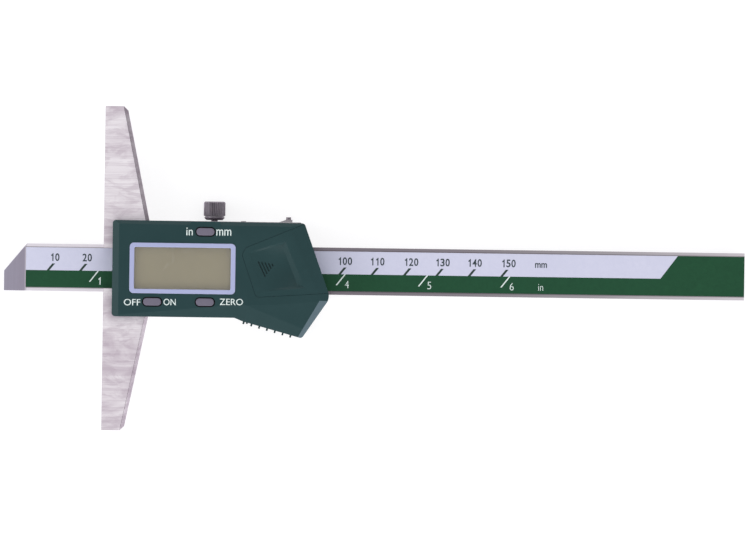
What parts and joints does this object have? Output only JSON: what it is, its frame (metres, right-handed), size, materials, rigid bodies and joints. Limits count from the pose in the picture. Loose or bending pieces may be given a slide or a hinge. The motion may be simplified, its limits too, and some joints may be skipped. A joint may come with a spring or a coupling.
{
  "type": "digital depth gauge",
  "caption": "Digital depth gauge: a flat steel beam with a printed scale slides through a wide base and a display unit to measure the depth of holes and steps.",
  "frame": {"origin": "middle of the base's measuring face, at the middle of the beam's thickness", "axes": "+X along the beam to its far end, +Y along the base towards the lock screw, +Z out of the display"},
  "size_m": [0.2285, 0.1, 0.015],
  "materials": {
    "ground_steel": "ground and satin polished stainless steel",
    "frame_steel": "satin stainless steel",
    "screw_steel": "turned steel",
    "knob_steel": "dark knurled steel",
    "gib_brass": "milled brass",
    "green_plastic": "finely textured dark green moulding",
    "ring_plastic": "smooth pale lavender moulding",
    "window_clear": "clear polished acrylic",
    "lcd_glass": "grey-olive liquid crystal glass, blank",
    "inner_plastic": "black moulding",
    "zebra_rubber": "striped conductive rubber",
    "board_green": "solder-masked glass epoxy",
    "chip_black": "black epoxy",
    "dome_steel": "sprung steel discs",
    "button_grey": "grey-mauve moulding",
    "battery_can": "nickel-plated steel",
    "contact_brass": "sprung brass",
    "label_print": "printed film, pale lavender over green"
  },
  "bodies": {
    "slider": {"base": "ground_steel", "slider_frame": "frame_steel", "base_screws": "screw_steel", "housing_screws": "screw_steel", "gib_screw_front": "screw_steel", "gib_screw_rear": "screw_steel", "housing": "green_plastic", "display_frame": "ring_plastic", "lcd_window": "window_clear", "lcd_panel": "lcd_glass", "lcd_holder": "inner_plastic", "zebra_strips": "zebra_rubber", "circuit_board": "board_green", "board_screws": "screw_steel", "sensor_board": "board_green", "controller_chip": "chip_black", "timing_crystal": "screw_steel", "key_domes": "dome_steel", "battery": "battery_can", "battery_tray": "inner_plastic", "battery_contact_negative": "contact_brass", "battery_contact_positive": "contact_brass"},
    "beam": {"beam": "ground_steel", "scale_strip": "board_green", "scale_label": "label_print", "stop_plate": "frame_steel", "stop_screws": "screw_steel"},
    "gib": {"gib": "gib_brass"},
    "lock_screw": {"lock_screw": "knob_steel"},
    "button_in_mm": {"button_in_mm": "button_grey"},
    "button_off_on": {"button_off_on": "button_grey"},
    "button_zero": {"button_zero": "button_grey"},
    "battery_cover": {"battery_cover": "green_plastic"}
  },
  "joints": [
    {"name": "beam_slide", "type": "slide", "parent": "slider", "child": "beam", "axis": [-1, 0, 0], "range_m": [-0.0307, 0.1193]},
    {"name": "gib_press", "type": "slide", "parent": "slider", "child": "gib", "axis": [0, -1, 0], "range_m": [0, 0.00005625]},
    {"name": "lock_screw_turn", "type": "hinge", "parent": "gib", "child": "lock_screw", "pos_m": [0.034, 0.015, 0], "axis": [0, -1, 0], "range_deg": [0, 45]},
    {"name": "in_mm_press", "type": "slide", "parent": "slider", "child": "button_in_mm", "axis": [0, 0, -1], "range_m": [0, 0.0004], "stiffness_N_per_m": 3000, "springref_m": -0.0002},
    {"name": "off_on_press", "type": "slide", "parent": "slider", "child": "button_off_on", "axis": [0, 0, -1], "range_m": [0, 0.0004], "stiffness_N_per_m": 3000, "springref_m": -0.0002},
    {"name": "zero_press", "type": "slide", "parent": "slider", "child": "button_zero", "axis": [0, 0, -1], "range_m": [0, 0.0004], "stiffness_N_per_m": 3000, "springref_m": -0.0002},
    {"name": "battery_cover_slide", "type": "slide", "parent": "slider", "child": "battery_cover", "axis": [0.9703, 0.2419, 0], "range_m": [0, 0.028]}
  ],
  "couplings": [
    {"joint": "lock_screw_turn", "follows": "gib_press", "rad_per_m": 13963}
  ]
}
